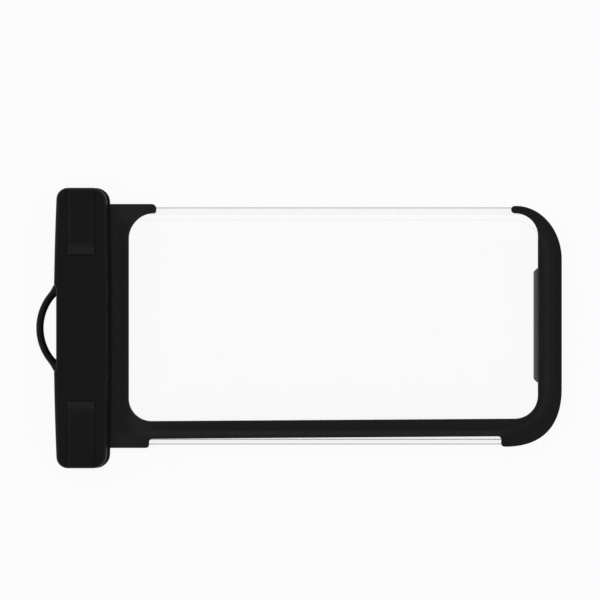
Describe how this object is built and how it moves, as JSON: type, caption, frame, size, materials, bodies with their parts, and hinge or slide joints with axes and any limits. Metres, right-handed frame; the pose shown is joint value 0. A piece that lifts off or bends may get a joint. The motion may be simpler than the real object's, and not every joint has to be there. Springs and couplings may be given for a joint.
{
  "type": "waterproof phone case",
  "caption": "Flat clear pouch for a phone in a black frame, its mouth shut by a rigid clamp bar with swing latches and a lanyard loop.",
  "frame": {"origin": "middle of the outer box at the face the case lies on, under the back frame and the rear clamp bar", "axes": "+X from the clamp to the pouch's closed end, +Y across the pouch to the frame's open side, +Z out of the front window"},
  "size_m": [0.1956, 0.104, 0.0134],
  "materials": {
    "clear_film": "clear, glossy, flexible film",
    "frame_sheet": "black, satin, soft sheet",
    "clamp_plastic": "black, satin, moulded",
    "seal_rubber": "grey, matt, soft",
    "bumper_rubber": "dark grey, matt, soft",
    "pin_steel": "drawn wire"
  },
  "bodies": {
    "case": {"front_film": "clear_film", "back_film": "clear_film", "front_frame": "frame_sheet", "back_frame": "frame_sheet", "front_clamp_bar": "clamp_plastic", "rear_clamp_bar": "clamp_plastic", "upper_latch_pin": "pin_steel", "lower_latch_pin": "pin_steel", "seal_strip": "seal_rubber", "end_bumper": "bumper_rubber"},
    "upper_latch": {"upper_latch": "clamp_plastic"},
    "lower_latch": {"lower_latch": "clamp_plastic"}
  },
  "joints": [
    {"name": "upper_latch_hinge", "type": "hinge", "parent": "case", "child": "upper_latch", "pos_m": [-0.081, 0.04965, 0.0032], "axis": [-1, 0, 0], "range_deg": [0, 90]},
    {"name": "lower_latch_hinge", "type": "hinge", "parent": "case", "child": "lower_latch", "pos_m": [-0.081, -0.04965, 0.0032], "axis": [1, 0, 0], "range_deg": [0, 90]}
  ]
}
